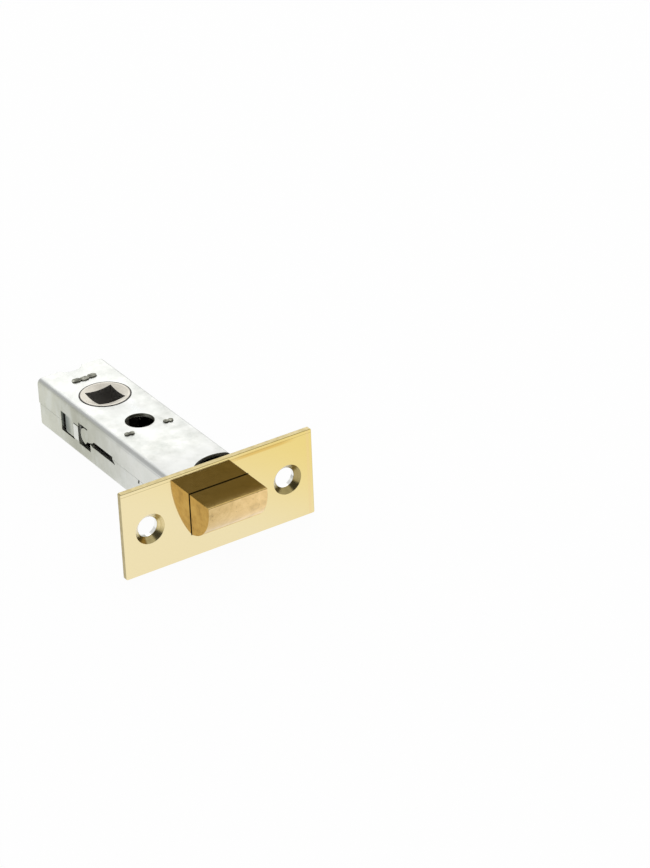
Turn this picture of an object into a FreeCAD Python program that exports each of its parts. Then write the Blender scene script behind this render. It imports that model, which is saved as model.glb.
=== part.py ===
import FreeCAD, Part
import math
import os
import Sketcher

# Tubular mortice door latch, 76 mm case, latch bolt shown thrown out.
# The frame's origin is the centre of the forend's front face. +X points out of the
# door edge, the way the bolt is thrown, Y runs along the forend, and +Z along the
# spindle. All sizes are in millimetres.

# Driving sizes, in millimetres, with two angles in degrees and two counts of turns.
# Forend: the visible face plate and the steel plate behind it
FOREND_LENGTH = 57.0
FOREND_WIDTH = 25.0
FOREND_THICK = 1.5
FOREND_CORNER = 0.4
SCREW_FROM_END = 7.85
SCREW_HOLE = 5.6
COUNTERSINK_WIDEN = 1.45
BACKING_INSET = 0.9
BACKING_THICK = 1.2
CASE_SEAT_DEPTH = 0.3

# Latch bolt: flat on top, rounded bevel below
BOLT_THROW = 9.3
BOLT_INSIDE = 11.0
BOLT_SIDE_GAP = 0.6
BOLT_TOP_GAP = 0.2
BOLT_GAP = 0.15
BEVEL_FOOT = 0.65
NOSE_FLAT = 0.95
BOLT_EDGE_ROUND = 0.25

# Case: two folded half shells that meet at mid height
BACKSET = 57.5
CASE_BEHIND_HUB = 18.7
CASE_HEIGHT = 14.3
SHEET_THICK = 1.0
INNER_FOLD = 0.5
SEAM_GAP = 0.06
REAR_STEP = 0.5
THROUGH_HOLE_OFFSET = 18.2
THROUGH_HOLE = 7.9
REAR_NOTCH = 7.8
REAR_NOTCH_PAST_END = 2.0
RELIEF_RADIUS = 8.8
RELIEF_BACK = 3.4
RELIEF_FROM_WALL = 5.6
LUG_FROM_SEAM = 1.2
LUG_FROM_FOLD = 1.05

# Openings pressed in the near side wall, placed from the follower's centre
WINDOW_BEHIND_HUB = 6.5
WINDOW_AHEAD_OF_HUB = 0.3
WINDOW_HIGH = 2.8
WINDOW_LOW = 3.0
FLAP_BEND_BEHIND_HUB = 2.8
FLAP_DEPTH = 0.9
FLAP_THICK = 0.6
FLAP_GAP = 0.6
CLIP_WIDTH = 2.7
CLIP_DROP = 0.8
CLIP_PROUD = 0.15
TONGUE_RADIUS = 2.35
TONGUE_MARGIN = 1.1
TONGUE_LIFT = 0.55
TONGUE_ROOT_LOW = 0.5
TONGUE_ROOT_GAP = 0.2
SLOT_LAND = 2.2
LONG_SLOT_FROM_PLATE = 0.2
LONG_SLOT_HIGH = 0.8
LONG_SLOT_LOW = 1.1
NICK_AHEAD_OF_PLATE = 10.5
NICK_WIDTH = 0.7
NICK_DEPTH = 1.1

# Cross plates staked into the shells
SPRING_PLATE_THICK = 1.2
PLATE_AHEAD_OF_HOLE = 0.25
FRONT_TAB_LENGTH = 2.4
FRONT_TAB_INSET = 0.1
REAR_PLATE_THICK = 1.5
REAR_PLATE_ROOM = 2.5
REAR_TAB_LENGTH = 7.0
SLOT_GAP = 0.08
FIT_GAP = 0.1
STAKE_RISE = 0.3
STAKE_SPREAD = 0.2
STAKE_STAGGER = 0.12
STAKE_OVERLAP = 0.3

# Follower
SPINDLE_SQUARE = 8.0
WAIST_WALL = 2.2
JOURNAL_STEP = 0.8
COLLAR_STEP = 0.9
COLLAR_ROOM = 1.5
HUB_GAP = 0.1
HUB_PROUD = 0.1
DISH_RIM = 0.8
DISH_DEPTH = 0.7
WING_ROOM = 0.7
WING_REST_ANGLE = 28.0
WING_ROOT = 4.6
WING_TIP = 2.2
WING_LOW = 2.2

# Draw plate: the fork that the follower pulls back
DRAW_THICK = 1.6
DRAW_HEAD_ROOM = 1.35
DRAW_FOOT_ROOM = 1.55
DRAW_SIDE_GAP = 0.3
RAIL_WIDTH = 1.65
RAIL_BEHIND_HOLE = 1.25
RAIL_GAP = 0.25
CROSSBAR_GAP = 0.3
CROSSBAR_WEB = 0.8
DRAW_TAB_INSET = 0.6

# Springs and pins
SPRING_SIDE_GAP = 0.6
SPRING_SPACE = 1.0
SPRING_FOOT_ROOM = 1.6
BOLT_SPRING_WIRE = 0.9
BOLT_SPRING_TURNS = 7.0
RETURN_SPRING_DIAMETER = 4.8
RETURN_SPRING_WIRE = 0.7
RETURN_SPRING_TURNS = 8.0
GUIDE_PIN_GAP = 0.5
PULL_PIN_HEAD_GAP = 0.15
PULL_PIN_SHOULDER = 0.6
PULL_PIN_HEAD_THICK = 1.2
PIN_DEPTH = 4.0
PRESS_GAP = 0.02

doc = FreeCAD.newDocument("tubular_latch")
sheet = doc.addObject("Spreadsheet::Sheet", "Sizes")


class Size:
    """A length with its present value and the sheet expression that it comes from."""

    def __init__(self, value, text):
        self.value = value
        self.text = text

    def joined(self, other, sign, value):
        return Size(value, "(" + self.text + " " + sign + " " + other.text + ")")

    def __add__(self, other):
        other = as_size(other)
        return self.joined(other, "+", self.value + other.value)

    def __sub__(self, other):
        other = as_size(other)
        return self.joined(other, "-", self.value - other.value)

    def __mul__(self, other):
        other = as_size(other)
        return self.joined(other, "*", self.value * other.value)

    def __truediv__(self, other):
        other = as_size(other)
        return self.joined(other, "/", self.value / other.value)

    def __neg__(self):
        return Size(-self.value, "(-1 * " + self.text + ")")


def as_size(number):
    """Turns a plain number into a Size, and leaves a Size alone."""
    if isinstance(number, Size):
        return number
    return Size(float(number), repr(float(number)))


def driving(alias, value):
    """Writes one driving dimension into the sheet and returns it as a Size."""
    driving.row += 1
    sheet.set("A%d" % driving.row, alias)
    sheet.set("B%d" % driving.row, str(value))
    sheet.setAlias("B%d" % driving.row, alias)
    return Size(float(value), "Sizes." + alias)


driving.row = 0


def sine(angle):
    return Size(math.sin(math.radians(angle.value)), "sin(" + angle.text + " * 1 deg)")


def cosine(angle):
    return Size(math.cos(math.radians(angle.value)), "cos(" + angle.text + " * 1 deg)")


def smaller(first, second):
    return Size(min(first.value, second.value), "min(" + first.text + "; " + second.text + ")")


# The same driving sizes in the sheet
forend_length = driving("forend_length", FOREND_LENGTH)
forend_width = driving("forend_width", FOREND_WIDTH)
forend_thick = driving("forend_thick", FOREND_THICK)
forend_corner = driving("forend_corner", FOREND_CORNER)
screw_from_end = driving("screw_from_end", SCREW_FROM_END)
screw_hole = driving("screw_hole", SCREW_HOLE)
countersink_widen = driving("countersink_widen", COUNTERSINK_WIDEN)
backing_inset = driving("backing_inset", BACKING_INSET)
backing_thick = driving("backing_thick", BACKING_THICK)
case_seat_depth = driving("case_seat_depth", CASE_SEAT_DEPTH)
bolt_throw = driving("bolt_throw", BOLT_THROW)
bolt_inside = driving("bolt_inside", BOLT_INSIDE)
bolt_side_gap = driving("bolt_side_gap", BOLT_SIDE_GAP)
bolt_top_gap = driving("bolt_top_gap", BOLT_TOP_GAP)
bolt_gap = driving("bolt_gap", BOLT_GAP)
bevel_foot = driving("bevel_foot", BEVEL_FOOT)
nose_flat = driving("nose_flat", NOSE_FLAT)
bolt_edge_round = driving("bolt_edge_round", BOLT_EDGE_ROUND)
backset = driving("backset", BACKSET)
case_behind_hub = driving("case_behind_hub", CASE_BEHIND_HUB)
case_height = driving("case_height", CASE_HEIGHT)
sheet_thick = driving("sheet_thick", SHEET_THICK)
inner_fold = driving("inner_fold", INNER_FOLD)
seam_gap = driving("seam_gap", SEAM_GAP)
rear_step = driving("rear_step", REAR_STEP)
through_hole_offset = driving("through_hole_offset", THROUGH_HOLE_OFFSET)
through_hole = driving("through_hole", THROUGH_HOLE)
rear_notch = driving("rear_notch", REAR_NOTCH)
rear_notch_past_end = driving("rear_notch_past_end", REAR_NOTCH_PAST_END)
relief_radius = driving("relief_radius", RELIEF_RADIUS)
relief_back = driving("relief_back", RELIEF_BACK)
relief_from_wall = driving("relief_from_wall", RELIEF_FROM_WALL)
lug_from_seam = driving("lug_from_seam", LUG_FROM_SEAM)
lug_from_fold = driving("lug_from_fold", LUG_FROM_FOLD)
window_behind_hub = driving("window_behind_hub", WINDOW_BEHIND_HUB)
window_ahead_of_hub = driving("window_ahead_of_hub", WINDOW_AHEAD_OF_HUB)
window_high = driving("window_high", WINDOW_HIGH)
window_low = driving("window_low", WINDOW_LOW)
flap_bend_behind_hub = driving("flap_bend_behind_hub", FLAP_BEND_BEHIND_HUB)
flap_depth = driving("flap_depth", FLAP_DEPTH)
flap_thick = driving("flap_thick", FLAP_THICK)
flap_gap = driving("flap_gap", FLAP_GAP)
clip_width = driving("clip_width", CLIP_WIDTH)
clip_drop = driving("clip_drop", CLIP_DROP)
clip_proud = driving("clip_proud", CLIP_PROUD)
tongue_radius = driving("tongue_radius", TONGUE_RADIUS)
tongue_margin = driving("tongue_margin", TONGUE_MARGIN)
tongue_lift = driving("tongue_lift", TONGUE_LIFT)
tongue_root_low = driving("tongue_root_low", TONGUE_ROOT_LOW)
tongue_root_gap = driving("tongue_root_gap", TONGUE_ROOT_GAP)
slot_land = driving("slot_land", SLOT_LAND)
long_slot_from_plate = driving("long_slot_from_plate", LONG_SLOT_FROM_PLATE)
long_slot_high = driving("long_slot_high", LONG_SLOT_HIGH)
long_slot_low = driving("long_slot_low", LONG_SLOT_LOW)
nick_ahead_of_plate = driving("nick_ahead_of_plate", NICK_AHEAD_OF_PLATE)
nick_width = driving("nick_width", NICK_WIDTH)
nick_depth = driving("nick_depth", NICK_DEPTH)
spring_plate_thick = driving("spring_plate_thick", SPRING_PLATE_THICK)
plate_ahead_of_hole = driving("plate_ahead_of_hole", PLATE_AHEAD_OF_HOLE)
front_tab_length = driving("front_tab_length", FRONT_TAB_LENGTH)
front_tab_inset = driving("front_tab_inset", FRONT_TAB_INSET)
rear_plate_thick = driving("rear_plate_thick", REAR_PLATE_THICK)
rear_plate_room = driving("rear_plate_room", REAR_PLATE_ROOM)
rear_tab_length = driving("rear_tab_length", REAR_TAB_LENGTH)
slot_gap = driving("slot_gap", SLOT_GAP)
fit_gap = driving("fit_gap", FIT_GAP)
stake_rise = driving("stake_rise", STAKE_RISE)
stake_spread = driving("stake_spread", STAKE_SPREAD)
stake_stagger = driving("stake_stagger", STAKE_STAGGER)
stake_overlap = driving("stake_overlap", STAKE_OVERLAP)
spindle_square = driving("spindle_square", SPINDLE_SQUARE)
waist_wall = driving("waist_wall", WAIST_WALL)
journal_step = driving("journal_step", JOURNAL_STEP)
collar_step = driving("collar_step", COLLAR_STEP)
collar_room = driving("collar_room", COLLAR_ROOM)
hub_gap = driving("hub_gap", HUB_GAP)
hub_proud = driving("hub_proud", HUB_PROUD)
dish_rim = driving("dish_rim", DISH_RIM)
dish_depth = driving("dish_depth", DISH_DEPTH)
wing_room = driving("wing_room", WING_ROOM)
wing_rest_angle = driving("wing_rest_angle", WING_REST_ANGLE)
wing_root = driving("wing_root", WING_ROOT)
wing_tip = driving("wing_tip", WING_TIP)
wing_low = driving("wing_low", WING_LOW)
draw_thick = driving("draw_thick", DRAW_THICK)
draw_head_room = driving("draw_head_room", DRAW_HEAD_ROOM)
draw_foot_room = driving("draw_foot_room", DRAW_FOOT_ROOM)
draw_side_gap = driving("draw_side_gap", DRAW_SIDE_GAP)
rail_width = driving("rail_width", RAIL_WIDTH)
rail_behind_hole = driving("rail_behind_hole", RAIL_BEHIND_HOLE)
rail_gap = driving("rail_gap", RAIL_GAP)
crossbar_gap = driving("crossbar_gap", CROSSBAR_GAP)
crossbar_web = driving("crossbar_web", CROSSBAR_WEB)
draw_tab_inset = driving("draw_tab_inset", DRAW_TAB_INSET)
spring_side_gap = driving("spring_side_gap", SPRING_SIDE_GAP)
spring_space = driving("spring_space", SPRING_SPACE)
spring_foot_room = driving("spring_foot_room", SPRING_FOOT_ROOM)
bolt_spring_wire = driving("bolt_spring_wire", BOLT_SPRING_WIRE)
bolt_spring_turns = driving("bolt_spring_turns", BOLT_SPRING_TURNS)
return_spring_diameter = driving("return_spring_diameter", RETURN_SPRING_DIAMETER)
return_spring_wire = driving("return_spring_wire", RETURN_SPRING_WIRE)
return_spring_turns = driving("return_spring_turns", RETURN_SPRING_TURNS)
guide_pin_gap = driving("guide_pin_gap", GUIDE_PIN_GAP)
pull_pin_head_gap = driving("pull_pin_head_gap", PULL_PIN_HEAD_GAP)
pull_pin_shoulder = driving("pull_pin_shoulder", PULL_PIN_SHOULDER)
pull_pin_head_thick = driving("pull_pin_head_thick", PULL_PIN_HEAD_THICK)
pin_depth = driving("pin_depth", PIN_DEPTH)
press_gap = driving("press_gap", PRESS_GAP)

# Places and sizes worked out from the driving ones
fold_radius = inner_fold + sheet_thick
waist_diameter = spindle_square + waist_wall * 2
waist_radius = waist_diameter / 2
hub_diameter = waist_diameter + journal_step * 2
collar_diameter = hub_diameter + collar_step * 2
dish_diameter = hub_diameter - dish_rim * 2
room_half_width = collar_diameter / 2 + collar_room
half_width = room_half_width + sheet_thick
half_height = case_height / 2
room_half_height = half_height - sheet_thick
half_seam = seam_gap / 2
case_length = backset + case_behind_hub
plate_back = forend_thick + backing_thick
screw_spacing = forend_length - screw_from_end * 2
lug_width = half_height - fold_radius - lug_from_seam - lug_from_fold
relief_side = half_width - relief_from_wall
plate_half_width = room_half_width - fit_gap
plate_half_height = room_half_height - fit_gap

bolt_width = (room_half_width - bolt_side_gap) * 2
bolt_height = (room_half_height - bolt_top_gap) * 2
through_place = backset - through_hole_offset
spring_plate_front = through_place - through_hole / 2 - plate_ahead_of_hole - spring_plate_thick
rear_plate_front = backset + collar_diameter / 2 + rear_plate_room

window_rear = backset + window_behind_hub
window_front = backset - window_ahead_of_hub
flap_bend = backset + flap_bend_behind_hub
clip_high = window_high - clip_drop
tongue_slot_rear = window_front - clip_width
tongue_centre = tongue_slot_rear - tongue_margin - tongue_radius
tongue_slot_front = tongue_centre - tongue_radius - tongue_root_gap
long_slot_rear = tongue_slot_front - slot_land
long_slot_front = spring_plate_front + spring_plate_thick + long_slot_from_plate
nick_place = spring_plate_front - nick_ahead_of_plate

draw_top = room_half_height - draw_head_room
draw_under = draw_top - draw_thick
draw_low = room_half_height - draw_foot_room
draw_half_width = room_half_width - draw_side_gap
rail_inner = draw_half_width - rail_width
rail_step = through_place + through_hole / 2 + rail_behind_hole
tab_outer = draw_half_width - draw_tab_inset
crossbar_front = bolt_inside + crossbar_gap
crossbar_back = crossbar_front + draw_thick
fork_inner = waist_radius + rail_gap
draw_tab_front = backset - fork_inner * sine(wing_rest_angle) / cosine(wing_rest_angle) + rail_gap
draw_tab_back = draw_tab_front + draw_thick
wing_reach = room_half_width - wing_room
front_tab_centre = rail_inner - rail_gap - front_tab_inset - front_tab_length / 2

return_place = room_half_width - spring_side_gap - return_spring_diameter / 2
coil_between = return_place - return_spring_diameter / 2 - spring_space
bolt_coil = smaller(coil_between, draw_low - spring_foot_room) * 2
guide_diameter = bolt_coil - (bolt_spring_wire + guide_pin_gap) * 2
pin_head = return_spring_diameter - (return_spring_wire + pull_pin_head_gap) * 2
pin_diameter = pin_head - pull_pin_shoulder * 2

def origin_plane(body, role):
    """The body's own origin plane: XY_Plane, XZ_Plane or YZ_Plane."""
    return [plane for plane in body.Origin.OriginFeatures if plane.Role == role][0]


def bind(item, path, size):
    item.setExpression(path, as_size(size).text)


def new_body(label):
    body = doc.addObject("PartDesign::Body", label)
    body.Label = label
    return body


def new_sketch(body, name, role, level):
    """An empty sketch on an origin plane of the body, shifted along its normal."""
    sketch = body.newObject("Sketcher::SketchObject", name)
    sketch.AttachmentSupport = [(origin_plane(body, role), "")]
    sketch.MapMode = "FlatFace"
    bind(sketch, "AttachmentOffset.Base.z", level)
    return sketch


def pin_point(sketch, geometry, vertex, place):
    """Holds one sketch point at its place, measured from the sketch's origin."""
    for kind, axis, size in (("DistanceX", -2, place[0]), ("DistanceY", -1, place[1])):
        size = as_size(size)
        if size.text == "0.0":
            sketch.addConstraint(Sketcher.Constraint("PointOnObject", geometry, vertex, axis))
            continue
        rule = Sketcher.Constraint(kind, -1, 1, geometry, vertex, size.value)
        index = sketch.addConstraint(rule)
        sketch.setExpression("Constraints[%d]" % index, size.text)


def arc_between(start, end, radius, turn):
    """The short arc from start to end. turn is 1 anticlockwise, -1 clockwise."""
    chord = end - start
    reach = chord.Length / 2
    rise = math.sqrt(max(radius * radius - reach * reach, 0.0))
    side = FreeCAD.Vector(-chord.y, chord.x, 0).normalize() * (rise * turn)
    centre = start + chord / 2 + side
    first, last = (start, end) if turn > 0 else (end, start)
    low = math.atan2(first.y - centre.y, first.x - centre.x)
    high = math.atan2(last.y - centre.y, last.x - centre.x)
    circle = Part.Circle(centre, FreeCAD.Vector(0, 0, 1), radius)
    return Part.ArcOfCircle(circle, low, high if high > low else high + 2 * math.pi)


def outline(body, name, role, level, points, arcs=None):
    """A closed outline. arcs gives a radius and a turn for sides that are round."""
    arcs = arcs or {}
    sketch = new_sketch(body, name, role, level)
    corners = [FreeCAD.Vector(as_size(x).value, as_size(y).value, 0) for x, y in points]
    count = len(corners)
    ends = []
    for side in range(count):
        start, end = corners[side], corners[(side + 1) % count]
        if side in arcs:
            radius, turn = as_size(arcs[side][0]), arcs[side][1]
            sketch.addGeometry(arc_between(start, end, radius.value, turn), False)
            rule = Sketcher.Constraint("Radius", side, radius.value)
            sketch.setExpression("Constraints[%d]" % sketch.addConstraint(rule), radius.text)
            ends.append((1, 2) if turn > 0 else (2, 1))
        else:
            sketch.addGeometry(Part.LineSegment(start, end), False)
            ends.append((1, 2))
    for side in range(count):
        following = (side + 1) % count
        rule = Sketcher.Constraint("Coincident", side, ends[side][1], following, ends[following][0])
        sketch.addConstraint(rule)
        pin_point(sketch, side, ends[side][0], points[side])
    return sketch


def rectangle(body, name, role, level, low, high):
    corners = [low, (high[0], low[1]), high, (low[0], high[1])]
    return outline(body, name, role, level, corners)


def circles(body, name, role, level, centres, diameter):
    """One circle of the same diameter at each centre."""
    sketch = new_sketch(body, name, role, level)
    for index, centre in enumerate(centres):
        place = FreeCAD.Vector(as_size(centre[0]).value, as_size(centre[1]).value, 0)
        circle = Part.Circle(place, FreeCAD.Vector(0, 0, 1), diameter.value / 2)
        sketch.addGeometry(circle, False)
        rule = Sketcher.Constraint("Diameter", index, diameter.value)
        sketch.setExpression("Constraints[%d]" % sketch.addConstraint(rule), diameter.text)
        pin_point(sketch, index, 3, centre)
    return sketch


def pad(body, sketch, length):
    """Raises a sketch along its plane's normal."""
    feature = body.newObject("PartDesign::Pad", sketch.Name + "_pad")
    feature.Profile = sketch
    bind(feature, "Length", length)
    sketch.Visibility = False
    return feature


cuts = []


def pocket(body, sketch, length):
    """Cuts against the sketch plane's normal, to a length or through the whole body."""
    before = body.Tip
    feature = body.newObject("PartDesign::Pocket", sketch.Name + "_cut")
    feature.Profile = sketch
    if length is None:
        feature.Type = "ThroughAll"
    else:
        bind(feature, "Length", length)
    cuts.append((feature, before))
    return feature


def revolve(body, kind, sketch, axis):
    """Turns a sketch once round its own axis, to add or to cut."""
    before = body.Tip
    feature = body.newObject("PartDesign::" + kind, sketch.Name + "_turned")
    feature.Profile = sketch
    feature.ReferenceAxis = (sketch, [axis])
    feature.Angle = 360.0
    if kind == "Groove":
        cuts.append((feature, before))
    return feature


def mirrored(body, feature, role):
    """Repeats a feature on the other side of an origin plane of the body."""
    copy = body.newObject("PartDesign::Mirrored", feature.Name + "_mirrored")
    copy.Originals = [feature]
    copy.MirrorPlane = (origin_plane(body, role), [""])
    body.Tip = copy
    return copy


def edges_where(feature, test):
    """Names of the feature's edges whose two ends and middle pass the test."""
    names = []
    for index, edge in enumerate(feature.Shape.Edges):
        low, high = edge.ParameterRange
        spots = [edge.valueAt(low), edge.valueAt((low + high) / 2), edge.valueAt(high)]
        if test(*spots):
            names.append("Edge%d" % (index + 1))
    return names


def dress(body, kind, name, test, path, size):
    """A fillet or a chamfer on the edges of the present tip that pass the test."""
    doc.recompute()
    base = body.Tip
    feature = body.newObject("PartDesign::" + kind, name)
    feature.Base = (base, edges_where(base, test))
    bind(feature, path, size)
    return feature


def near(number, size):
    return abs(number - as_size(size).value) < 0.001


def along(axis, first, last):
    """True for an edge that runs along one axis."""
    run = last - first
    across = [abs(getattr(run, name)) for name in "xyz" if name != axis]
    return abs(getattr(run, axis)) > 0.01 and max(across) < 0.001


# Face plate, with two countersunk screw holes and the bolt's opening
def make_forend():
    body = new_body("forend")
    low = (-forend_length / 2, -forend_width / 2)
    high = (forend_length / 2, forend_width / 2)
    pad(body, rectangle(body, "forend_face", "YZ_Plane", -forend_thick, low, high), forend_thick)
    opening_y = bolt_width / 2 + bolt_gap
    opening_z = bolt_height / 2 + bolt_gap
    low = (-opening_y, -opening_z)
    high = (opening_y, opening_z)
    opening = rectangle(body, "forend_opening", "YZ_Plane", 0, low, high)
    pocket(body, opening, None)
    hole_radius = screw_hole / 2
    through = forend_thick + fit_gap
    cone = [
        (0, 0), (0, hole_radius + countersink_widen), (-forend_thick, hole_radius),
        (-through, hole_radius), (-through, 0)]
    sink_half = outline(body, "countersink", "XZ_Plane", -screw_spacing / 2, cone)
    mirrored(body, revolve(body, "Groove", sink_half, "H_Axis"), "XZ_Plane")

    def on_corner(first, middle, last):
        return along("x", first, last) and near(abs(middle.y), forend_length / 2)

    dress(body, "Fillet", "forend_corners", on_corner, "Radius", forend_corner)

    def on_front_rim(first, middle, last):
        at_side = abs(middle.y) > forend_length.value / 2 - forend_corner.value
        at_end = abs(middle.z) > forend_width.value / 2 - forend_corner.value
        return near(first.x, 0) and near(last.x, 0) and (at_side or at_end)

    dress(body, "Fillet", "forend_rim", on_front_rim, "Radius", forend_corner / 2)
    return body


# Steel plate behind the face plate, which carries the case's four lugs
def make_inner_forend():
    body = new_body("inner_forend")
    reach_y = forend_length / 2 - backing_inset
    reach_z = forend_width / 2 - backing_inset
    face = rectangle(body, "backing_face", "YZ_Plane", -plate_back, (-reach_y, -reach_z), (reach_y, reach_z))
    pad(body, face, backing_thick)
    opening_y = bolt_width / 2 + bolt_gap * 2
    opening_z = bolt_height / 2 + bolt_gap * 2
    low = (-opening_y, -opening_z)
    high = (opening_y, opening_z)
    opening = rectangle(body, "backing_opening", "YZ_Plane", 0, low, high)
    pocket(body, opening, None)
    centres = [(-screw_spacing / 2, 0), (screw_spacing / 2, 0)]
    pocket(body, circles(body, "backing_screws", "YZ_Plane", 0, centres, screw_hole), None)
    seat_y = half_width + fit_gap
    seat_z = half_height + fit_gap
    seat = rectangle(
        body, "case_seat", "YZ_Plane", -(plate_back - case_seat_depth), (-seat_y, -seat_z), (seat_y, seat_z))
    pocket(body, seat, case_seat_depth * 2)
    low = (room_half_width - slot_gap / 2, lug_from_seam - slot_gap / 2)
    high = (half_width + slot_gap / 2, lug_from_seam + lug_width + slot_gap / 2)
    slot = pocket(body, rectangle(body, "backing_slot", "YZ_Plane", 0, low, high), None)
    mirrored(body, slot, "XZ_Plane")
    lower = rectangle(
        body, "backing_slot_low", "YZ_Plane", 0, (low[0], -high[1]), (high[0], -low[1]))
    lower_slot = pocket(body, lower, None)
    mirrored(body, lower_slot, "XZ_Plane")
    return body


# Half shell: side is 1 for the upper one and -1 for the lower one
def make_shell(label, side, length):
    body = new_body(label)
    seam = half_seam * side
    top = half_height * side
    under = room_half_height * side
    channel = [
        (-half_width, seam), (-half_width, top), (half_width, top), (half_width, seam),
        (room_half_width, seam), (room_half_width, under),
        (-room_half_width, under), (-room_half_width, seam),
    ]
    run = length - (plate_back - case_seat_depth)
    pad(body, outline(body, label + "_channel", "YZ_Plane", -length, channel), run)

    def on_outer_fold(first, middle, last):
        return along("x", first, last) and near(middle.z, top) and near(abs(middle.y), half_width)

    dress(body, "Fillet", label + "_folds", on_outer_fold, "Radius", fold_radius)

    def on_inner_fold(first, middle, last):
        return along("x", first, last) and near(middle.z, under) and near(abs(middle.y), room_half_width)

    dress(body, "Fillet", label + "_inner_folds", on_inner_fold, "Radius", inner_fold)

    wall_level = half_height + sheet_thick if side > 0 else -room_half_height + sheet_thick
    wall_depth = sheet_thick * 3
    hub_hole = circles(
        body, label + "_hub_hole", "XY_Plane", wall_level, [(-backset, 0)], hub_diameter + hub_gap * 2)
    pocket(body, hub_hole, wall_depth)
    through = circles(
        body, label + "_through_hole", "XY_Plane", wall_level, [(-through_place, 0)], through_hole)
    pocket(body, through, wall_depth)
    notch = circles(
        body, label + "_notch", "XY_Plane", wall_level, [(-(case_length + rear_notch_past_end), 0)], rear_notch)
    pocket(body, notch, wall_depth)

    slot_back = spring_plate_front + spring_plate_thick + slot_gap
    slot_front = spring_plate_front - slot_gap
    low = (-slot_back, front_tab_centre - front_tab_length / 2 - slot_gap)
    high = (-slot_front, front_tab_centre + front_tab_length / 2 + slot_gap)
    slot = pocket(body, rectangle(body, label + "_tab_slot", "XY_Plane", wall_level, low, high), wall_depth)
    mirrored(body, slot, "XZ_Plane")
    rear_back = rear_plate_front + rear_plate_thick + slot_gap
    reach = rear_tab_length / 2 + slot_gap
    low = (-rear_back, -reach)
    high = (-(rear_plate_front - slot_gap), reach)
    pocket(body, rectangle(body, label + "_rear_slot", "XY_Plane", wall_level, low, high), wall_depth)

    lug_inner = lug_from_seam * side
    lug_outer = (lug_from_seam + lug_width) * side
    lug = rectangle(
        body, label + "_lug", "YZ_Plane", -(plate_back - case_seat_depth), (room_half_width, lug_inner),
        (half_width, lug_outer))
    mirrored(body, pad(body, lug, backing_thick - case_seat_depth), "XZ_Plane")
    return body


def side_cut(body, name, points):
    """Cuts an outline, given along X and Z, through the near side wall only."""
    sketch = outline(body, name, "XZ_Plane", half_width + sheet_thick, points)
    return pocket(body, sketch, sheet_thick * 3)


# Upper shell, with the relief at its front corner, the pressed flap and the round tongue
def make_case_upper():
    body = make_shell("case_upper", 1, case_length)
    relief = circles(
        body, "relief", "XY_Plane", half_height + sheet_thick,
        [(-relief_back, relief_side)], relief_radius * 2)
    pocket(body, relief, sheet_thick * 3)
    slot_front = tongue_slot_front + tongue_margin
    slot_high = tongue_lift + tongue_radius + tongue_margin * 0.4
    clip_top = clip_high + fit_gap
    opening = [
        (-window_rear, 0), (-slot_front, 0), (-slot_front, slot_high), (-tongue_slot_rear, slot_high),
        (-tongue_slot_rear, clip_top), (-window_front, clip_top), (-window_front, window_high),
        (-window_rear, window_high)]
    side_cut(body, "side_opening", opening)
    long_front = long_slot_front + long_slot_low + seam_gap * 5
    root_front = long_slot_rear + tongue_margin
    long_slot = [
        (-root_front, 0), (-long_front, 0), (-long_front, long_slot_high), (-long_slot_rear, long_slot_high)]
    side_cut(body, "long_slot_upper", long_slot)

    low = tongue_lift - tongue_radius
    high = tongue_lift + tongue_radius
    root = tongue_slot_front + tongue_root_gap
    tongue = [
        (-tongue_centre, low), (-slot_front - tongue_root_low, -tongue_root_low * 1.6),
        (-root, -tongue_root_low), (-root_front, half_seam), (-root_front, tongue_root_low),
        (-slot_front, high), (-tongue_centre, high)]
    pad(body, outline(
        body, "tongue", "XZ_Plane", room_half_width, tongue, {6: (tongue_radius * 1.0001, 1)}), sheet_thick)

    outer = -half_width
    inner = outer + flap_thick
    flap_end = window_rear - flap_gap
    bend = flap_depth * 4 + flap_end - flap_bend
    flap = [
        (-window_front, outer), (-window_front, inner), (-flap_bend, inner), (-flap_end, inner + flap_depth),
        (-flap_end, outer + flap_depth), (-flap_bend, outer)]
    flap_low = window_low - flap_gap
    curve = {2: (bend, -1), 4: (bend, 1)}
    pad(body, outline(body, "flap", "XY_Plane", -flap_low, flap, curve), flap_low + window_high)
    return body


# Lower shell, a little shorter at the rear
def make_case_lower():
    body = make_shell("case_lower", -1, case_length - rear_step)
    clip_rear = window_front - fit_gap
    clip_front = tongue_slot_rear + fit_gap
    window = [(-window_rear, 0), (-window_rear, -window_low), (-clip_rear, -window_low), (-clip_rear, 0)]
    side_cut(body, "window_lower", window)
    low = tongue_radius - tongue_lift + tongue_margin * 1.2
    around = [
        (-clip_front, 0), (-clip_front, -low), (-tongue_slot_front, -low), (-tongue_slot_front, 0)]
    side_cut(body, "tongue_slot_lower", around)
    long_rear = long_slot_rear + tongue_margin
    long_slot = [
        (-tongue_slot_front, 0), (-tongue_slot_front, -tongue_root_low - fit_gap * 2),
        (-long_rear, -long_slot_low), (-long_slot_front, -long_slot_low),
        (-long_slot_front - long_slot_low - seam_gap * 5, 0)]
    side_cut(body, "long_slot_lower", long_slot)
    clip_low = window_low * 0.8
    clip = rectangle(
        body, "clip", "XZ_Plane", room_half_width, (-clip_rear, -clip_low), (-clip_front, clip_high))
    pad(body, clip, sheet_thick + clip_proud)
    nick = [
        (-nick_place, 0), (-nick_place - nick_width * 0.4, -nick_depth),
        (-nick_place + nick_width * 0.6, -nick_depth), (-nick_place + nick_width, 0)]
    side_cut(body, "nick", nick)
    return body


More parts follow.
